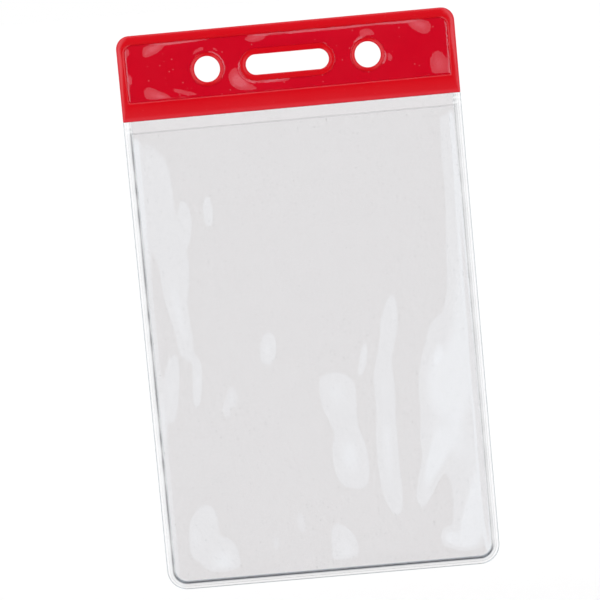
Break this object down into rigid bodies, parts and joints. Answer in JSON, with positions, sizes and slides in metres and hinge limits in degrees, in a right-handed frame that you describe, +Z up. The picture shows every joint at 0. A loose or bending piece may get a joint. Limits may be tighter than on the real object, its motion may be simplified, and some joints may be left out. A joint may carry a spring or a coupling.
{
  "type": "vertical badge holder",
  "caption": "Upright soft clear vinyl pocket for a name badge, with a coloured header bar punched with a strap slot and bead chain holes, and a slit mouth below the bar where it folds.",
  "frame": {"origin": "middle of the strap slot's upper wall, on the front face of the back sheet", "axes": "+Z up the holder, +X to its right seen from the front, +Y out of its back; the clear front and the coloured bar face -Y"},
  "size_m": [0.0668, 0.0015, 0.1112],
  "materials": {
    "clear_vinyl": "clear calendered soft vinyl film, glossy, slightly hazy",
    "red_vinyl": "opaque red soft vinyl film, glossy"
  },
  "bodies": {
    "header": {"header_front_sheet": "clear_vinyl", "colour_bar": "red_vinyl", "header_back_sheet": "clear_vinyl", "header_top_seam": "red_vinyl", "header_left_seam": "red_vinyl", "header_right_seam": "red_vinyl", "header_lower_seam": "red_vinyl", "slot_seam": "red_vinyl", "left_hole_seam": "red_vinyl", "right_hole_seam": "red_vinyl", "mouth_lip": "clear_vinyl", "fold_band": "clear_vinyl"},
    "pocket": {"pocket_back_sheet": "clear_vinyl", "pocket_front_sheet": "clear_vinyl", "left_side_seam": "clear_vinyl", "right_side_seam": "clear_vinyl", "bottom_seam": "clear_vinyl"}
  },
  "joints": [
    {"name": "header_fold", "type": "hinge", "parent": "header", "child": "pocket", "pos_m": [0, 0.00015, -0.0123], "axis": [1, 0, 0], "range_deg": [-90, 90], "stiffness_Nm_per_rad": 0.0012, "deforming": ["mouth_lip", "fold_band"]}
  ]
}
